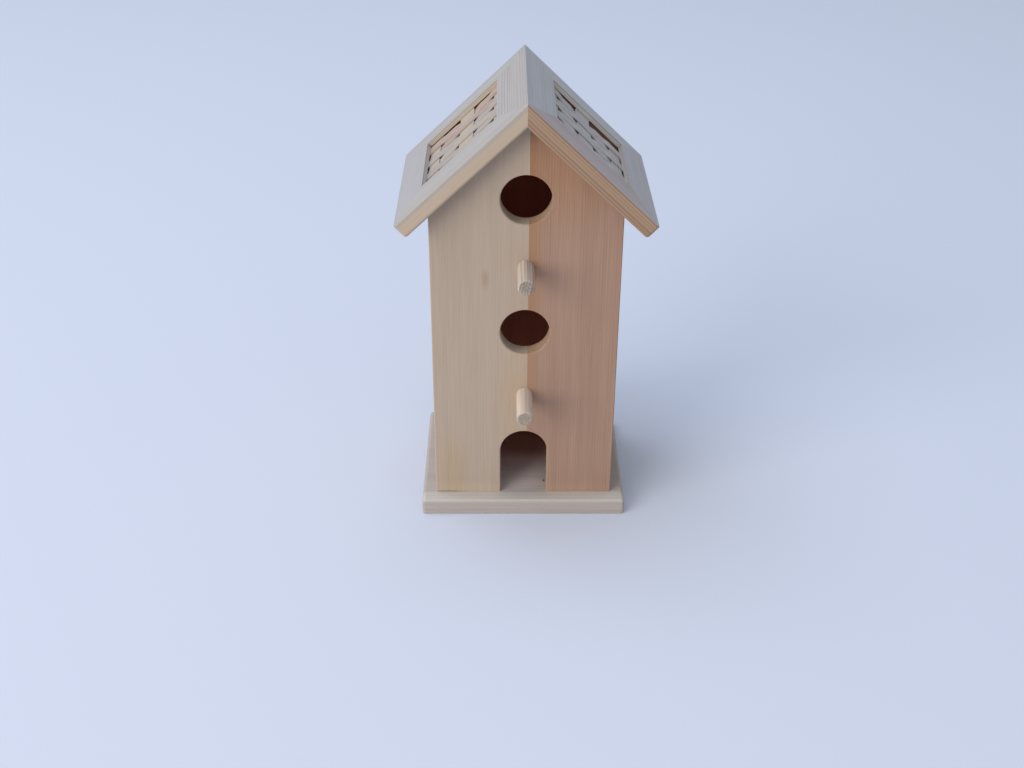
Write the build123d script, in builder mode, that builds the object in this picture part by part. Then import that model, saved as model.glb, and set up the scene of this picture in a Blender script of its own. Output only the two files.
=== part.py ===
from build123d import *
from math import cos, degrees, radians, sin, tan
import os

# Tall birdhouse of thin pine boards, in millimetres.
# The origin is at the centre of the base's underside, +Z is up and the front faces -Y.

# Boards
stock = 9.5

# House
house_width = 105
house_depth = 81.8
glue_line_offset = 1.6
corner_chamfer = 0.5

# Base
base_side_margin = 8
base_front_margin = 9.75
base_corner_radius = 1.5
base_top_radius = 2
base_bottom_chamfer = 0.5

# Roof: two frames of mitred rails that meet in a mitre at the ridge
ridge_height = 255
roof_slope = 43.5
eave_overhang = 24.9
gable_overhang = 11.75
front_rail_width = 22.5
eave_rail_width = 20
back_rail_width = 18.3
ridge_rail_width = 21.8
roof_corner_radius = 2
roof_top_radius = 1.2
roof_bottom_radius = 1.8

# Rebate under the inner edge of the rails, which takes the woven panel
lip_thickness = 2.7
rebate_width = 4
panel_clearance = 0.5

# Entrances
hole_diameter = 28
upper_hole_height = 198.4
lower_hole_height = 118.8
door_width = 27.6
door_height = 43.2
rim_chamfer = 0.5

# Perches
perch_diameter = 9.2
perch_tip_chamfer = 0.7
perch_clearance = 0.05
upper_perch_height = 158.9
upper_perch_reach = 25
lower_perch_height = 78
lower_perch_reach = 26.5

# Woven panels: flat long strips run along the ridge, and bent cross strips pass over and under them
strip_thickness = 0.55
strip_clearance = 0.05
middle_strip_width = 10.6
edge_strip_width = 7.5
ridge_strip_inset = 1.3
eave_strip_inset = 4.3
cross_strip_width = 8.6
cross_strip_gap = 0.9
crossing_margin = 0.5
bend_length = 3.5
bend_radius = 6
side_names = ("left", "right")
back_strip_widths = (11, 9)
cross_strip_turns = (-2.9, -8)
cross_strip_shifts = (-3.5, -5.5)

# Sizes that follow from these
slope = radians(roof_slope)
board_rise = stock / cos(slope)
gable_height = ridge_height - board_rise
shoulder_height = gable_height - house_width / 2 * tan(slope)
front_face = -house_depth / 2
base_width = house_width + 2 * base_side_margin
base_depth = house_depth + 2 * base_front_margin
door_side_height = door_height - door_width / 2
slope_length = house_width / 2 / cos(slope) + eave_overhang
roof_length = house_depth + 2 * gable_overhang
window_width = slope_length - ridge_rail_width - eave_rail_width
window_length = roof_length - front_rail_width - back_rail_width
panel_width = window_width + 2 * (rebate_width - panel_clearance)
panel_length = window_length + 2 * (rebate_width - panel_clearance)
crossing_rise = strip_thickness + strip_clearance
panel_depth = lip_thickness + crossing_rise + strip_thickness / 2
long_strip_widths = (edge_strip_width, middle_strip_width, edge_strip_width)
cross_strip_pitch = cross_strip_width + cross_strip_gap
cross_strip_count = int(panel_length / cross_strip_pitch)

os.makedirs("parts", exist_ok=True)


def save(piece, label):
    """Label a finished piece and write it to its own STEP file."""
    piece.part.label = label
    export_step(piece.part, f"parts/{label}.step")


# The base board, with its top edge rounded over all round.
with BuildPart() as base:
    with BuildSketch():
        Rectangle(base_width, base_depth)
    extrude(amount=stock)
    fillet(base.edges().filter_by(Axis.Z), base_corner_radius)
    fillet(base.edges().group_by(Axis.Z)[-1], base_top_radius)
    chamfer(base.edges().group_by(Axis.Z)[0], base_bottom_chamfer)
save(base, "base")


# The outline of an end wall: straight sides under the two roof slopes.
with BuildSketch() as gable_outline:
    with BuildLine():
        Polyline(
            (-house_width / 2, stock),
            (house_width / 2, stock),
            (house_width / 2, shoulder_height),
            (0, gable_height),
            (-house_width / 2, shoulder_height),
            close=True,
        )
    make_face()

# The whole front wall as it stands after gluing: two round entrances, a doorway with a
# round top that opens down to the base, and a drilled hole for each perch.
with BuildPart() as front_wall:
    with BuildSketch(Plane.XZ.offset(-front_face)):
        add(gable_outline.sketch)
        with Locations((0, upper_hole_height), (0, lower_hole_height)):
            Circle(hole_diameter / 2, mode=Mode.SUBTRACT)
        with Locations((0, stock + door_side_height)):
            Circle(door_width / 2, mode=Mode.SUBTRACT)
        with Locations((0, stock + door_side_height / 2)):
            Rectangle(door_width, door_side_height, mode=Mode.SUBTRACT)
    extrude(amount=-stock)
    rims = front_wall.edges().filter_by(GeomType.CIRCLE).group_by(Axis.Y)[0]
    chamfer(rims, rim_chamfer)
    uprights = front_wall.edges().filter_by(Axis.Z).group_by(Axis.Y)[0].sort_by(Axis.X)
    chamfer((uprights[0], uprights[-1]), corner_chamfer)
    with BuildSketch(Plane.XZ.offset(-front_face)):
        with Locations((0, upper_perch_height), (0, lower_perch_height)):
            Circle(perch_diameter / 2 + perch_clearance)
    extrude(amount=-stock, mode=Mode.SUBTRACT)

# The front wall is two boards, edge to edge, that meet just right of the middle.
glue_plane = Plane.YZ.offset(glue_line_offset)

with BuildPart() as front_board_left:
    add(front_wall.part)
    split(bisect_by=glue_plane, keep=Keep.BOTTOM)
save(front_board_left, "front_board_left")

with BuildPart() as front_board_right:
    add(front_wall.part)
    split(bisect_by=glue_plane, keep=Keep.TOP)
save(front_board_right, "front_board_right")

# The back wall has the front's outline and no openings.
with BuildPart() as back_wall:
    with BuildSketch(Plane.XZ.offset(front_face + stock)):
        add(gable_outline.sketch)
    extrude(amount=-stock)
    chamfer(back_wall.edges().filter_by(Axis.Z).group_by(Axis.Y)[-1], corner_chamfer)
save(back_wall, "back_wall")

# The side walls stand between the front and the back, with their tops bevelled to the slope.
side_wall_length = house_depth - 2 * stock
inner_top = shoulder_height + stock * tan(slope)

with BuildPart() as side_wall_right:
    with BuildSketch(Plane.XZ.offset(-side_wall_length / 2)):
        with BuildLine():
            Polyline(
                (house_width / 2 - stock, stock),
                (house_width / 2, stock),
                (house_width / 2, shoulder_height),
                (house_width / 2 - stock, inner_top),
                close=True,
            )
        make_face()
    extrude(amount=side_wall_length)
save(side_wall_right, "side_wall_right")

with BuildPart() as side_wall_left:
    mirror(side_wall_right.part, about=Plane.YZ)
save(side_wall_left, "side_wall_left")


def perch(height, reach):
    """A dowel through the front wall, flush inside, with the edge of its outer end broken."""
    with BuildPart() as dowel:
        with BuildSketch(Plane.XZ.offset(-front_face - stock)):
            with Locations((0, height)):
                Circle(perch_diameter / 2)
        extrude(amount=stock + reach)
        chamfer(dowel.edges().group_by(Axis.Y)[0], perch_tip_chamfer)
    return dowel


save(perch(upper_perch_height, upper_perch_reach), "upper_perch")
save(perch(lower_perch_height, lower_perch_reach), "lower_perch")

# On the roof's plane X runs down the slope from the ridge, Y runs back from the front edge
# and Z stands off the roof's top face. The left half is made on the right and mirrored.
roof_plane = Plane(
    origin=(0, -roof_length / 2, ridge_height),
    x_dir=(cos(slope), 0, -sin(slope)),
    z_dir=(sin(slope), 0, cos(slope)),
)
roof_axis = Axis(roof_plane.origin, roof_plane.z_dir)
window_corners = (
    (ridge_rail_width, front_rail_width),
    (ridge_rail_width + window_width, front_rail_width),
    (ridge_rail_width + window_width, front_rail_width + window_length),
    (ridge_rail_width, front_rail_width + window_length),
)
window_centre = (ridge_rail_width + window_width / 2, front_rail_width + window_length / 2)

# One half of the roof as it is after gluing and sanding, before it is told apart into rails.
with BuildPart() as roof_frame:
    with BuildSketch(roof_plane):
        Rectangle(slope_length, roof_length, align=(Align.MIN, Align.MIN))
    extrude(amount=-stock)
    split(bisect_by=Plane.YZ, keep=Keep.TOP)
    eave_corners = roof_frame.edges().filter_by(roof_axis).group_by(Axis.X)[-1]
    fillet(eave_corners, roof_corner_radius)
    bottom_face = roof_frame.faces().filter_by(roof_axis).sort_by(roof_axis)[0]
    fillet(bottom_face.edges().sort_by(Axis.X)[1:], roof_bottom_radius)
    top_face = roof_frame.faces().filter_by(roof_axis).sort_by(roof_axis)[-1]
    fillet(top_face.edges().sort_by(Axis.X)[1:], roof_top_radius)
    with BuildSketch(roof_plane):
        with Locations(window_centre):
            Rectangle(window_width, window_length)
    extrude(amount=-stock, mode=Mode.SUBTRACT)
    with BuildSketch(roof_plane.offset(-lip_thickness)):
        with Locations(window_centre):
            Rectangle(window_width + 2 * rebate_width, window_length + 2 * rebate_width)
    extrude(amount=lip_thickness - stock, mode=Mode.SUBTRACT)

# Each rail lies between two corners of the frame and two of its window, with its ends cut at
# the mitres that join them.
frame_corners = ((0, 0), (slope_length, 0), (slope_length, roof_length), (0, roof_length))
rail_names = ("front_rail", "eave_rail", "back_rail", "ridge_rail")


def rail(number):
    """One rail of the right half: the part of the frame between two mitres."""
    following = (number + 1) % len(rail_names)
    with BuildPart() as one_rail:
        add(roof_frame.part)
        with BuildSketch(roof_plane.offset(stock)):
            with BuildLine():
                Polyline(
                    frame_corners[number],
                    frame_corners[following],
                    window_corners[following],
                    window_corners[number],
                    close=True,
                )
            make_face()
        extrude(amount=-3 * stock, mode=Mode.INTERSECT)
    return one_rail


def on_side(piece, side):
    """The piece itself on the right, and its mirror image on the left."""
    if side == "right":
        return piece
    with BuildPart() as mirrored:
        mirror(piece.part, about=Plane.YZ)
    return mirrored


for number, rail_name in enumerate(rail_names):
    right_rail = rail(number)
    for side in side_names:
        save(on_side(right_rail, side), f"roof_{side}_{rail_name}")

# The middle of the window, on a plane halfway through the woven panel. Long strips lie flat in
# it, and cross strips rise or sink by crossing_rise where they meet one.
panel_middle = roof_plane.location * Pos(*window_centre, -panel_depth)
ridge_strip_place = ridge_strip_inset + edge_strip_width / 2 - panel_width / 2
eave_strip_place = panel_width / 2 - eave_strip_inset - edge_strip_width / 2
middle_strip_place = (ridge_strip_place + eave_strip_place) / 2
long_strip_places = (ridge_strip_place, middle_strip_place, eave_strip_place)
half_length = panel_length / 2
last_place = cross_strip_pitch * (cross_strip_count - 1) / 2


def bent_strip(points, width, side_plane):
    """Bend a strip along points, which give its middle line in side view, and trim its ends and
    corners to the panel's outline."""
    underside = [(along, level - strip_thickness / 2) for along, level in points]
    with BuildPart() as strip:
        with BuildSketch(side_plane):
            with BuildLine():
                FilletPolyline(*underside, radius=bend_radius)
                offset(amount=strip_thickness, side=Side.LEFT)
            make_face()
        extrude(amount=width / 2, both=True)
        with BuildSketch(Plane(panel_middle).offset(-stock)):
            Rectangle(panel_width, panel_length)
        extrude(amount=2 * stock, mode=Mode.INTERSECT)
    return strip


def pattern_back(place, turn, shift, back_width):
    """How far behind the window's middle the last cross strip ends, at a place on the slope."""
    back_edge = last_place - cross_strip_width / 2 + back_width
    return shift + back_edge / cos(turn) + place * tan(turn)


def long_strip(number, turn, shift, back_width):
    """A strip along the ridge. The middle one passes over the last cross strip, and behind it
    bends up to the underside of the lip. The others end where the last cross strip does."""
    place = long_strip_places[number]
    width = long_strip_widths[number]
    side_plane = Plane(panel_middle * Pos(place, 0) * Rot(0, 0, 90) * Rot(90, 0, 0))
    if place == middle_strip_place:
        lip_edge = window_length / 2
        points = [
            (-half_length, 0),
            (lip_edge - bend_length, 0),
            (lip_edge, crossing_rise),
            (half_length, crossing_rise),
        ]
        return bent_strip(points, width, side_plane)
    end = pattern_back(place + width / 2, turn, shift, back_width)
    with BuildPart() as strip:
        with BuildSketch(side_plane):
            with Locations((-half_length, 0)):
                Rectangle(half_length + end, strip_thickness, align=(Align.MIN, Align.CENTER))
        extrude(amount=width / 2, both=True)
    return strip


def cross_strip(number, turn, shift, back_width):
    """A strip down the slope, flat where it passes over or under a long strip, on the panel's
    plane between them, and bent evenly from one level to the other. Overs and unders are
    counted from the last strip, which passes under the middle long strip and is wider."""
    from_back = cross_strip_count - 1 - number
    width = back_width if from_back == 0 else cross_strip_width
    place = shift + last_place - from_back * cross_strip_pitch + (width - cross_strip_width) / 2
    turned = panel_middle * Pos(0, place) * Rot(0, 0, degrees(turn))
    points = []
    for column, long_place in enumerate(long_strip_places):
        crossing = long_place / cos(turn)
        half_flat = long_strip_widths[column] / 2 / cos(turn)
        half_flat += width / 2 * abs(tan(turn)) + crossing_margin
        rise = crossing_rise if (from_back + column) % 2 == 0 else -crossing_rise
        points += [
            (crossing - half_flat - bend_length, 0),
            (crossing - half_flat, rise),
            (crossing + half_flat, rise),
            (crossing + half_flat + bend_length, 0),
        ]
    points[0] = (-panel_width, points[1][1])
    points[-1] = (panel_width, points[-2][1])
    points.pop(1)
    points.pop(-2)
    return bent_strip(points, width, Plane(turned * Rot(90, 0, 0)))


weave_settings = zip(side_names, cross_strip_turns, cross_strip_shifts, back_strip_widths)
for side, turn_degrees, shift, back_width in weave_settings:
    turn = radians(turn_degrees)
    for number in range(len(long_strip_places)):
        strip = long_strip(number, turn, shift, back_width)
        save(on_side(strip, side), f"roof_{side}_long_strip_{number + 1}")
    for number in range(cross_strip_count):
        strip = cross_strip(number, turn, shift, back_width)
        save(on_side(strip, side), f"roof_{side}_cross_strip_{number + 1}")
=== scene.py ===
from math import cos, pi, radians, sin

import bpy
import numpy as np
from mathutils import Matrix, Vector


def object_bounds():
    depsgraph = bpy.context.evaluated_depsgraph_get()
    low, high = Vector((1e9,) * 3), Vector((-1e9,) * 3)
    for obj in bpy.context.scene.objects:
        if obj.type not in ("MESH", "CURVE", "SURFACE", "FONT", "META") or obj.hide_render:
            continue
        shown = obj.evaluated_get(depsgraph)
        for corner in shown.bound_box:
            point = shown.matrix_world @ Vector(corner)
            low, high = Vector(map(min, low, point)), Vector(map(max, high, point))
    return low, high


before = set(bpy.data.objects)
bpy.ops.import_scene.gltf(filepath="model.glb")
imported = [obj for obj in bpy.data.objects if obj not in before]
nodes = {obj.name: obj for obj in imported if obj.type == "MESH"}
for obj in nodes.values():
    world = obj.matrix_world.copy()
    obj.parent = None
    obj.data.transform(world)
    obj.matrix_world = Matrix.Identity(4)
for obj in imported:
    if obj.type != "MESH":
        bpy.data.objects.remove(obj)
cad_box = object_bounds()
mm = 0.001


# The base is one flat pine board with its grain running across the house. It was sawn, planed
# and sanded, with its top edge rounded over, and the walls are glued onto it.

def linear(colour):
    """Turn an sRGB hex colour into linear red, green, blue and alpha."""
    channels = np.array([int(colour[place:place + 2], 16) for place in (0, 2, 4)]) / 255
    low, high = channels / 12.92, ((channels + 0.055) / 1.055) ** 2.4
    return (*np.where(channels <= 0.04045, low, high), 1)


def add(tree, kind, inputs=None, **settings):
    """Add a shader node with its settings. An input is a value, or another node's output."""
    node = tree.nodes.new("ShaderNode" + kind)
    for setting, value in settings.items():
        setattr(node, setting, value)
    for socket, value in (inputs or {}).items():
        if isinstance(value, bpy.types.NodeSocket):
            tree.links.new(value, node.inputs[socket])
        else:
            node.inputs[socket].default_value = value
    return node


def tinted(tree, colour, tint, factor):
    """Multiply the colour's red, green and blue by a tint, as far as the factor says."""
    product = add(tree, "VectorMath", {0: colour, 1: tint}, operation="MULTIPLY")
    return add(tree, "Mix", {"Factor": factor.outputs[0], 6: colour, 7: product.outputs[0]},
               data_type="RGBA").outputs[2]


def stained(tree, place, colour, centre, reach, tint, depth, soft=0.8):
    """Tint the colour inside an ellipsoid, given in millimetres.

    The distance from its centre is measured in shares of its reach. The tint has its full depth
    up to 1 - soft of the reach, and fades smoothly to none at the reach. A reach of 900, far
    more than the house, leaves its direction out.
    """
    offset = add(tree, "VectorMath", {0: place, 1: Vector(centre) * mm}, operation="SUBTRACT")
    shares = add(tree, "VectorMath", {0: offset.outputs[0], 1: Vector(reach) * mm},
                 operation="DIVIDE")
    far = add(tree, "VectorMath", {0: shares.outputs[0]}, operation="LENGTH")
    factor = add(tree, "MapRange", {"Value": far.outputs["Value"], "From Min": 1 - soft,
                                    "From Max": 1.0, "To Min": depth, "To Max": 0.0},
                 interpolation_type="SMOOTHSTEP")
    return tinted(tree, colour, tint, factor)


def wood(name, grain, pith, pale, dark, ring_width, ring_depth, fibre_depth, wander=1.5,
         fibre_width=0.45, streak_depth=0.5, blotch_depth=0.04, end_depth=0.12, pore_depth=0.0,
         stains=(), skin=None, inner=None):
    """Make wood as it is cut from a log, so that faces, edges and end grain agree.

    A point's way from the pith is split into a part along the grain and a part across it. The
    length of the part across, pushed in and out by slow noise, is divided by the ring width:
    the fraction left over darkens slowly through one year's growth and drops back at its end.
    Fibres are fine noise drawn out along the grain, and blotches are large soft noise. End
    grain, where the surface faces along the grain, is darker and shows the pores as dots. A skin
    gives a flat top face's normal and height, and the depth by which the wood below it has its
    full tint; the top keeps the pale and dark colours, which on the roof carry painted cool
    light. Inner gives the way that an inner face looks, the way up on it, and two heights with
    the tint of painted shade that it has below the first and above the second. Sizes are
    millimetres.
    """
    material = bpy.data.materials.new(name)
    material.use_nodes = True
    tree = material.node_tree
    tree.nodes.clear()
    coordinates = add(tree, "TexCoord")
    place = coordinates.outputs["Object"]
    away = add(tree, "VectorMath", {0: place, 1: Vector(pith) * mm}, operation="SUBTRACT")
    along = add(tree, "VectorMath", {0: away.outputs[0], 1: grain}, operation="PROJECT")
    across = add(tree, "VectorMath", {0: away.outputs[0], 1: along.outputs[0]},
                 operation="SUBTRACT")
    distance = add(tree, "VectorMath", {0: across.outputs[0]}, operation="LENGTH")

    # Rings wander slowly: the noise is some 40 mm across and 300 mm long.
    slow_place = add(tree, "VectorMath", {0: along.outputs[0], 1: (0.13, 0.13, 0.13),
                                          2: across.outputs[0]}, operation="MULTIPLY_ADD")
    slow = add(tree, "TexNoise", {"Vector": slow_place.outputs[0], "Scale": 1 / (40 * mm),
                                  "Detail": 2, "Roughness": 0.4})
    pushed = add(tree, "Math", {0: slow.outputs["Fac"], 1: 2 * wander * mm,
                                2: distance.outputs["Value"]}, operation="MULTIPLY_ADD")
    # Years differ in width and in strength.
    uneven = add(tree, "TexNoise", {"W": pushed.outputs[0], "Scale": 0.3 / (ring_width * mm),
                                    "Detail": 1}, noise_dimensions="1D")
    count = add(tree, "Math", {0: pushed.outputs[0], 1: 1 / (ring_width * mm),
                               2: uneven.outputs["Fac"]}, operation="MULTIPLY_ADD")
    year = add(tree, "Math", {0: count.outputs[0]}, operation="FRACT")
    # Spring wood is pale and summer wood dark, with a quick change at the end of the year.
    growth = add(tree, "ValToRGB", {"Fac": year.outputs[0]})
    ramp = growth.color_ramp
    for number, (position, level) in enumerate(((0.0, 0.3), (0.25, 0.0), (0.7, 0.5),
                                                (0.85, 1.0), (1.0, 0.4))):
        stop = ramp.elements[number] if number < 2 else ramp.elements.new(position)
        stop.position = position
        stop.color = (level, level, level, 1)
    strength = add(tree, "MapRange", {"Value": uneven.outputs["Fac"], "From Min": 0.3,
                                      "From Max": 0.7, "To Min": 0.45 * ring_depth,
                                      "To Max": ring_depth})
    ring_share = add(tree, "Math", {0: growth.outputs["Color"], 1: strength.outputs[0]},
                     operation="MULTIPLY")

    # Fibres are some 30 times longer than they are wide, and streaks run between them.
    fibre_place = add(tree, "VectorMath", {0: along.outputs[0], 1: (0.03, 0.03, 0.03),
                                           2: across.outputs[0]}, operation="MULTIPLY_ADD")
    fibre = add(tree, "TexNoise", {"Vector": fibre_place.outputs[0],
                                   "Scale": 0.5 / (fibre_width * mm), "Detail": 3,
                                   "Roughness": 0.65})
    streak = add(tree, "TexNoise", {"Vector": fibre_place.outputs[0],
                                    "Scale": 0.1 / (fibre_width * mm), "Detail": 2})
    streak_share = add(tree, "MapRange", {"Value": streak.outputs["Fac"], "From Min": 0.35,
                                          "From Max": 0.7, "To Min": 0.0,
                                          "To Max": streak_depth * ring_depth})
    share = add(tree, "Math", {0: ring_share.outputs[0], 1: streak_share.outputs[0]},
                operation="ADD", use_clamp=True)
    colour = add(tree, "Mix", {"Factor": share.outputs[0], 6: linear(pale), 7: linear(dark)},
                 data_type="RGBA").outputs[2]
    for stain in stains:
        colour = stained(tree, place, colour, *stain)
    if inner:
        way, up, low, low_tint, high, high_tint = inner
        looks_in = add(tree, "VectorMath", {0: coordinates.outputs["Normal"], 1: way},
                       operation="DOT_PRODUCT")
        at_face = add(tree, "MapRange", {"Value": looks_in.outputs["Value"], "From Min": 0.8,
                                         "From Max": 0.9})
        upright = add(tree, "VectorMath", {0: place, 1: up}, operation="DOT_PRODUCT")
        rise = add(tree, "MapRange", {"Value": upright.outputs["Value"], "From Min": low * mm,
                                      "From Max": high * mm})
        tint = add(tree, "Mix", {"Factor": rise.outputs[0], 4: low_tint, 5: high_tint},
                   data_type="VECTOR").outputs[1]
        colour = tinted(tree, colour, tint, at_face)
    if skin:
        normal, level, depth, tint = skin
        height = add(tree, "VectorMath", {0: place, 1: normal}, operation="DOT_PRODUCT")
        below = add(tree, "MapRange", {"Value": height.outputs["Value"],
                                       "From Min": (level - depth) * mm,
                                       "From Max": (level - 0.2) * mm,
                                       "To Min": 1.0, "To Max": 0.0},
                    interpolation_type="SMOOTHSTEP")
        colour = tinted(tree, colour, tint, below)

    blotch = add(tree, "TexNoise", {"Vector": slow_place.outputs[0], "Scale": 1 / (24 * mm),
                                    "Detail": 2})
    fibre_shade = add(tree, "MapRange", {"Value": fibre.outputs["Fac"], "From Min": 0.3,
                                         "From Max": 0.7, "To Min": 1 - fibre_depth,
                                         "To Max": 1 + fibre_depth})
    blotch_shade = add(tree, "MapRange", {"Value": blotch.outputs["Fac"], "From Min": 0.3,
                                          "From Max": 0.7, "To Min": 1 - blotch_depth,
                                          "To Max": 1 + blotch_depth})
    facing = add(tree, "VectorMath", {0: coordinates.outputs["Normal"], 1: grain},
                 operation="DOT_PRODUCT")
    sideways = add(tree, "Math", {0: facing.outputs["Value"]}, operation="ABSOLUTE")
    end_shade = add(tree, "MapRange", {"Value": sideways.outputs[0], "From Min": 0.5,
                                       "From Max": 0.95, "To Min": 1.0, "To Max": 1 - end_depth})
    shade = add(tree, "Math", {0: fibre_shade.outputs[0], 1: blotch_shade.outputs[0]},
                operation="MULTIPLY")
    shade = add(tree, "Math", {0: shade.outputs[0], 1: end_shade.outputs[0]},
                operation="MULTIPLY")
    if pore_depth:
        # Pores are drawn 0.6 mm wide, coarser than they are, so that they show.
        pore = add(tree, "TexNoise", {"Vector": across.outputs[0], "Scale": 0.5 / (0.6 * mm),
                                      "Detail": 1})
        pore_share = add(tree, "MapRange", {"Value": pore.outputs["Fac"], "From Min": 0.48,
                                            "From Max": 0.6, "To Max": pore_depth})
        at_end = add(tree, "MapRange", {"Value": sideways.outputs[0], "From Min": 0.5,
                                        "From Max": 0.95})
        pores = add(tree, "Math", {0: pore_share.outputs[0], 1: at_end.outputs[0]},
                    operation="MULTIPLY")
        clear = add(tree, "Math", {0: 1.0, 1: pores.outputs[0]}, operation="SUBTRACT")
        shade = add(tree, "Math", {0: shade.outputs[0], 1: clear.outputs[0]},
                    operation="MULTIPLY")
    shaded = add(tree, "VectorMath", {0: colour, "Scale": shade.outputs[0]}, operation="SCALE")
    # Bare sanded wood is matt, a little less so on the dense lines.
    roughness = add(tree, "MapRange", {"Value": share.outputs[0], "To Min": 0.78,
                                       "To Max": 0.62})
    relief = add(tree, "Bump", {"Height": fibre.outputs["Fac"], "Strength": 0.4,
                                "Distance": 0.08 * mm})
    surface = add(tree, "BsdfPrincipled", {"Base Color": shaded.outputs[0],
                                           "Roughness": roughness.outputs[0],
                                           "Normal": relief.outputs[0]})
    output = add(tree, "OutputMaterial")
    tree.links.new(surface.outputs[0], output.inputs["Surface"])
    return material


def dress(piece, material):
    """Give a piece one material."""
    piece.data.materials.clear()
    piece.data.materials.append(material)


grain_across = (1, 0, 0)
grain_back = (0, 1, 0)
grain_up = (0, 0, 1)

# Pine, sawn and sanded: pale, slightly pink, with faint lines that run from side to side. The
# floor inside is painted paler towards the door, as painted light, and redder towards the back,
# as painted shade. The top in front of the walls is painted paler, as painted light. Each stain
# gives its centre, its reach, its tint, its depth and, where that isn't 0.8, its softness.
# Painted shade: the floor inside is redder towards the back.
painted_shade_inside = ((0, 14, 9.5), (43, 34, 6), (1.3, 0.95, 0.88), 1.0, 1.0)
# Painted light: the floor inside the door is paler.
painted_light_at_door = ((-8, -17, 9.5), (40, 26, 6), (1.9, 2.0, 2.15), 1.0, 0.7)
# Painted light: the top in front of the walls is paler, where their shade falls.
painted_light_base_front = ((0, -46, 9.5), (900, 6.5, 1.5), (1.2, 1.27, 1.24), 1.0, 0.6)
speck_at_door = ((12.7, -29.3, 9.5), (0.9, 1.7, 1.0), (0.1, 0.08, 0.06), 1.0)
base_pine = wood("pine_sawn_and_sanded", grain_across, pith=(0, 180, -60), pale="b3a8a0",
                 dark="a19083", ring_width=2.0, ring_depth=0.5, fibre_depth=0.05,
                 stains=(painted_shade_inside, painted_light_at_door, painted_light_base_front, speck_at_door))
dress(nodes["base"], base_pine)


# The front is two pine boards glued edge to edge just right of the middle, with the entrances
# cut through both. The left board is sapwood and the right one heartwood.

# Pine sapwood, planed and sanded: even and pale, with fine upright lines. Faces cut through the
# boards, inside the entrances, are painted paler than the fronts, as painted light. This board
# has a brown fleck, and is yellower round the door and at its outer foot, where the joint with
# the base is a dark line. Its foot is also painted paler, as painted light from the base.
inside_cuts = ((0, -36, 110), (900, 4.9, 900))
# Painted light: the cut faces inside the entrances are paler.
painted_light_left_cuts = (*inside_cuts, (1.15, 1.2, 1.2), 1.0, 0.2)
# Painted light: the foot is paler, as if lit from the base.
painted_bounce_left_foot = ((-26, -41, 9.5), (60, 9, 10), (1.13, 1.14, 1.12), 1.0, 1.0)
yellow_door_side = ((0, -41, 60), (24, 9, 110), (1.03, 0.97, 0.86), 0.8)
yellow_corner = ((-42, -41, 26), (11, 9, 32), (1.0, 0.93, 0.76), 0.7)
brown_fleck = ((-22.2, -41, 152), (3.0, 9, 9), (0.78, 0.66, 0.55), 0.5)
open_joint = ((-45, -41, 9.5), (13, 2.5, 0.7), (0.2, 0.16, 0.13), 0.9)
pale_pine = wood("pine_sapwood_sanded", grain_up, pith=(-190, 40, 0), pale="b29f8c",
                 dark="a48f7a", ring_width=1.3, ring_depth=0.45, fibre_depth=0.05, end_depth=0.0,
                 stains=(painted_light_left_cuts, painted_bounce_left_foot, yellow_door_side, yellow_corner, brown_fleck,
                         open_joint))
dress(nodes["front_board_left"], pale_pine)

# Pine heartwood, planed and sanded: pinkish brown, with stronger upright lines, and browner
# under the gable and along the glue. Its cut faces inside the entrances and its foot are painted
# paler, as painted light.
# Painted light: the cut faces inside the entrances are paler.
painted_light_right_cuts = (*inside_cuts, (1.2, 1.32, 1.3), 1.0, 0.2)
# Painted light: the foot is paler, as if lit from the base.
painted_bounce_right_foot = ((26, -41, 9.5), (60, 9, 10), (1.14, 1.17, 1.17), 1.0, 1.0)
brown_gable = ((14, -41, 228), (60, 9, 62), (0.95, 0.84, 0.68), 0.9)
brown_glue_side = ((0, -41, 150), (12, 9, 160), (0.99, 0.85, 0.64), 0.85)
warm_pine = wood("pine_heartwood_sanded", grain_up, pith=(200, 30, 0), pale="a58671",
                 dark="956e58", ring_width=1.3, ring_depth=0.6, fibre_depth=0.06, end_depth=0.0,
                 stains=(painted_light_right_cuts, painted_bounce_right_foot, brown_gable, brown_glue_side))
dress(nodes["front_board_right"], warm_pine)


# The sides stand between the front and the back, and all are glued onto the base. They are
# plain pine boards, sanded outside. Their inner faces are painted redder and darker, as painted
# shade inside the house.

# The slanted top of the back wall shows through the roof's slots, painted dark and brown like
# the inner faces, as painted shade.
painted_slot_shade = [((way * 32, 31.4, 218), (19.5, 4.5, 60), (0.75, 0.3, 0.22), 1.0, 0.3)
               for way in (-1, 1)]
# The painted shade on the inner faces is only reddish up to a height of 90 mm, and dark brown
# from 130 mm up.
low_shade_tint = (1.65, 0.78, 0.65)
high_shade_tint = (1.1, 0.34, 0.24)
for name, far_side, inwards, stains in (
        ("side_wall_left", (-190, 40, 0), (1, 0, 0), ()),
        ("side_wall_right", (190, 40, 0), (-1, 0, 0), ()),
        ("back_wall", (150, 120, 0), (0, -1, 0), painted_slot_shade)):
    wall_pine = wood(f"pine_sanded_{name}", grain_up, pith=far_side, pale="b09c86",
                     dark="9a8068", ring_width=1.6, ring_depth=0.5, fibre_depth=0.05,
                     stains=stains, inner=(inwards, grain_up, 90, low_shade_tint, 130, high_shade_tint))
    dress(nodes[name], wall_pine)


# The perches are cut from birch dowel, pushed and glued into drilled holes. Their ends are
# sawn across and sanded, so they show the open pores as dark specks.

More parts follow.
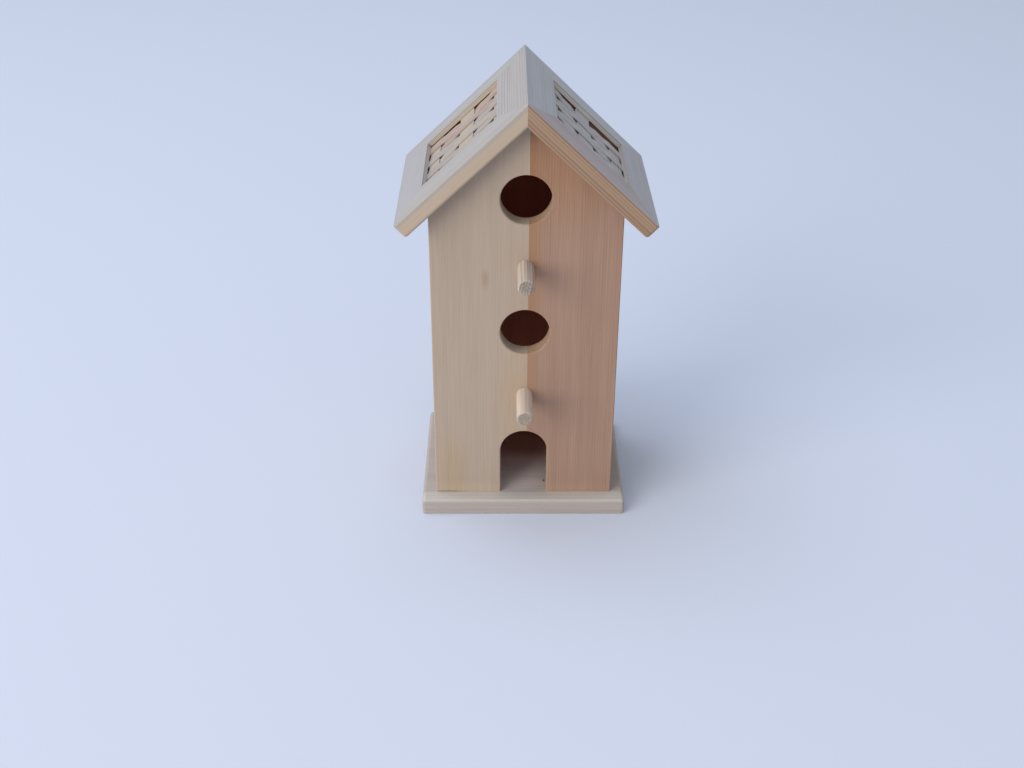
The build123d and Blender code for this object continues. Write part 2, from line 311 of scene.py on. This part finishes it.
# Birch, turned and sanded: the upper perch is coarse, with open grain whose strong pale streaks
# are partly real grain and partly painted highlights, and the lower one is finer.
coarse_birch = wood("birch_dowel_coarse", grain_back, pith=(40, 0, 150), pale="ddcebb",
                    dark="9f8a76", ring_width=1.5, ring_depth=0.8, fibre_depth=0.16,
                    fibre_width=0.7, end_depth=0.36, pore_depth=0.3)
dress(nodes["upper_perch"], coarse_birch)
fine_birch = wood("birch_dowel_fine", grain_back, pith=(30, 0, 60), pale="d2bfab",
                  dark="b39d85", ring_width=1.8, ring_depth=0.4, fibre_depth=0.09,
                  fibre_width=0.8, end_depth=0.4, pore_depth=0.25)
dress(nodes["lower_perch"], fine_birch)


# Each half of the roof is a frame of four mitred pine rails, glued at the corners, so the
# grain turns with the frame: down the slope at front and back, and level along ridge and eave.

roof_slope = radians(43.5)
down_slope = {"left": Vector((-cos(roof_slope), 0, -sin(roof_slope))),
              "right": Vector((cos(roof_slope), 0, -sin(roof_slope)))}
off_slope = {"left": Vector((-sin(roof_slope), 0, cos(roof_slope))),
             "right": Vector((sin(roof_slope), 0, cos(roof_slope)))}
ridge = Vector((0, 0, 255))


def pith_beyond(side, down, off, back=0):
    """The place this far down the slope, off it and back from the ridge, in millimetres."""
    return ridge + down_slope[side] * down + off_slope[side] * off + Vector((0, back, 0))


# A rail whose rings stand across the board shows fine lines on top. In one whose rings lie
# flat, the lines show on the edge instead. The rails' colours are paler and greyer than the pine
# of their edges, as painted cool light on the roof's top, so each rail's last values are how
# deep that painted grey reaches and the tint below it. On the back rails that tint is lighter,
# as painted light on their inner faces. On the left front rail the change is gradual.
rails = {
    "left_front": ("a59f98", "988f86", 5.0, 0.35, (50, -210), 4.2, (1.3, 1.09, 0.87)),
    "left_back": ("a39f99", "948d84", 2.2, 0.4, (50, -210), 1.0, (1.42, 1.25, 1.05)),
    "left_ridge": ("a8a29d", "8d857c", 1.9, 0.9, (-200, -30), 1.0, (1.2, 1.08, 0.92)),
    "left_eave": ("a4a09d", "958f8a", 2.2, 0.45, (240, -60), 1.0, (1.35, 1.25, 1.12)),
    "right_front": ("b0a4a0", "806858", 1.75, 0.9, (60, -240, -41), 1.0, (0.91, 0.72, 0.49)),
    "right_back": ("b0aeab", "9e9a96", 2.2, 0.4, (50, -210), 1.0, (1.7, 1.6, 1.38)),
    "right_ridge": ("acaba9", "98938d", 2.0, 0.5, (-220, -60), 1.0, (1.2, 1.08, 0.92)),
    "right_eave": ("b0adab", "958d86", 2.0, 0.7, (230, -20), 1.0, (1.12, 1.0, 0.88)),
}
# Where the slots show the hollow below the back rails' lips, the wood is painted dark and
# brown, as painted shade under the lips. A lip is 2.7 mm thick, and the painted shade fades out
# across its lower edge.
lip = 2.7
# Painted shade under the lips.
painted_hollow_shade = (0.7, 0.45, 0.48)
# Painted light: each rail's top keeps the grey of painted cool light, and the wood below it is
# tinted.
for rail, (pale, dark, ring_width, ring_depth, pith, sky_grey_depth, edge_tint) in rails.items():
    side, part = rail.split("_")
    grain = down_slope[side] if part in ("front", "back") else grain_back
    top = ridge.dot(off_slope[side])
    hollow = ((0, -1, 0), off_slope[side], top - lip - 0.5, painted_hollow_shade, top - lip + 0.2,
              (1, 1, 1))
    rail_pine = wood(f"pine_rail_{rail}", grain, pith=pith_beyond(side, *pith), pale=pale,
                     dark=dark, ring_width=ring_width, ring_depth=ring_depth,
                     fibre_depth=0.05, streak_depth=0.25, wander=0.8,
                     skin=(off_slope[side], top, sky_grey_depth, edge_tint),
                     inner=hollow if part == "back" else None)
    dress(nodes[f"roof_{rail}_rail"], rail_pine)


# The panels are woven from split wood about half a millimetre thick: three long strips run
# with the ridge, and seven cross strips pass over and under them. Pinkish, yellowish and grey
# strips lie side by side, painted warmer on the left half and greyer on the right half, as
# painted window light and painted cool shade. The seam at the back rail is painted dark, as
# painted shade.

# Split pine, unsanded: matt, with fine lines along each strip. The order says which of the
# tones each cross strip has, from the front to the back.
# Painted light: the left half's tones are warmer, and the right half's greyer as painted cool
# shade.
strip_tones = {"left": (("a79384", "968273"), ("aca091", "9c8e7c"), ("a39890", "94887d")),
               "right": (("b0a7a1", "9c928a"), ("b0aaa2", "9d958b"), ("aea9a6", "9b9590"))}
strip_order = {"left": (2, 1, 2, 1, 2, 0, 0), "right": (0, 2, 1, 2, 1, 2, 0)}
window_back = 34.35
# Painted shade: a dark line where the long strips meet the back rail.
painted_seam_shade = ((0, window_back, 220), (900, 0.9, 900), (0.25, 0.22, 0.2), 1.0, 1.0)
for side in ("left", "right"):
    crossing = [wood(f"split_wood_down_slope_{side}_{tone}", down_slope[side],
                     pith=pith_beyond(side, 50, -150) + Vector((0, 60 * tone, 0)), pale=pale,
                     dark=dark, ring_width=1.4, ring_depth=0.5, fibre_depth=0.06)
                for tone, (pale, dark) in enumerate(strip_tones[side])]
    pale, dark = strip_tones[side][1]
    running = wood(f"split_wood_level_{side}", grain_back, pith=pith_beyond(side, 150, -40),
                   pale=pale, dark=dark, ring_width=1.4, ring_depth=0.5, fibre_depth=0.06,
                   stains=(painted_seam_shade,))
    for number, tone in enumerate(strip_order[side], 1):
        dress(nodes[f"roof_{side}_cross_strip_{number}"], crossing[tone])
    for number in range(1, 4):
        dress(nodes[f"roof_{side}_long_strip_{number}"], running)


# A plain pale paper floor 12 m wide, a soft window-like light from the left front, and a
# cooler one above.

floor_size = 12
corner = floor_size / 2
floor_mesh = bpy.data.meshes.new("floor")
floor_mesh.from_pydata([(-corner, -corner, 0), (corner, -corner, 0), (corner, corner, 0),
                        (-corner, corner, 0)], [], [(0, 1, 2, 3)])
floor = bpy.data.objects.new("floor", floor_mesh)
bpy.context.scene.collection.objects.link(floor)
paper = bpy.data.materials.new("matt_paper")
paper.use_nodes = True
paper_surface = paper.node_tree.nodes["Principled BSDF"]
paper_surface.inputs["Base Color"].default_value = linear("cdd0d8")
paper_surface.inputs["Roughness"].default_value = 0.9
dress(floor, paper)


def soft_light(name, azimuth, elevation, distance, size, power, colour):
    """Add a square lamp that looks at the house from a direction round it, in degrees.

    Distance and size are metres, and power is watts.
    """
    lamp = bpy.data.lights.new(name, "AREA")
    lamp.size = size
    lamp.energy = power
    lamp.color = linear(colour)[:3]
    light = bpy.data.objects.new(name, lamp)
    around, up = radians(azimuth), radians(elevation)
    way = Vector((sin(around) * cos(up), -cos(around) * cos(up), sin(up)))
    middle = (cad_box[0] + cad_box[1]) / 2
    light.location = middle + way * distance
    light.rotation_euler = way.to_track_quat("Z", "Y").to_euler()
    bpy.context.scene.collection.objects.link(light)


soft_light("window_light", azimuth=-48, elevation=19, distance=3.2, size=2.2, power=72,
           colour="fffaf2")
soft_light("sky_light", azimuth=-100, elevation=72, distance=3.6, size=3.2, power=88,
           colour="d6e4ff")

world = bpy.data.worlds.new("pale_room")
world.use_nodes = True
bpy.context.scene.world = world
room = world.node_tree.nodes["Background"]
room.inputs["Color"].default_value = linear("e8effc")
room.inputs["Strength"].default_value = 0.55

# The camera stands in front of the house, a little left of its middle, and looks down on it.
# Its place is in millimetres.
camera_data = bpy.data.cameras.new("camera")
camera_data.sensor_width = 36
camera_data.lens = 44.891
camera_data.clip_start = 0.01
camera = bpy.data.objects.new("camera", camera_data)
pitch, yaw, roll = radians(-30.856), radians(-0.494), radians(0.326)
camera.matrix_world = (Matrix.Translation(Vector((-12.53, -670.98, 461.6)) * mm)
                       @ Matrix.Rotation(yaw, 4, "Z") @ Matrix.Rotation(pi / 2 + pitch, 4, "X")
                       @ Matrix.Rotation(roll, 4, "Z"))
bpy.context.scene.collection.objects.link(camera)
bpy.context.scene.camera = camera

bpy.context.scene.view_settings.view_transform = "Standard"
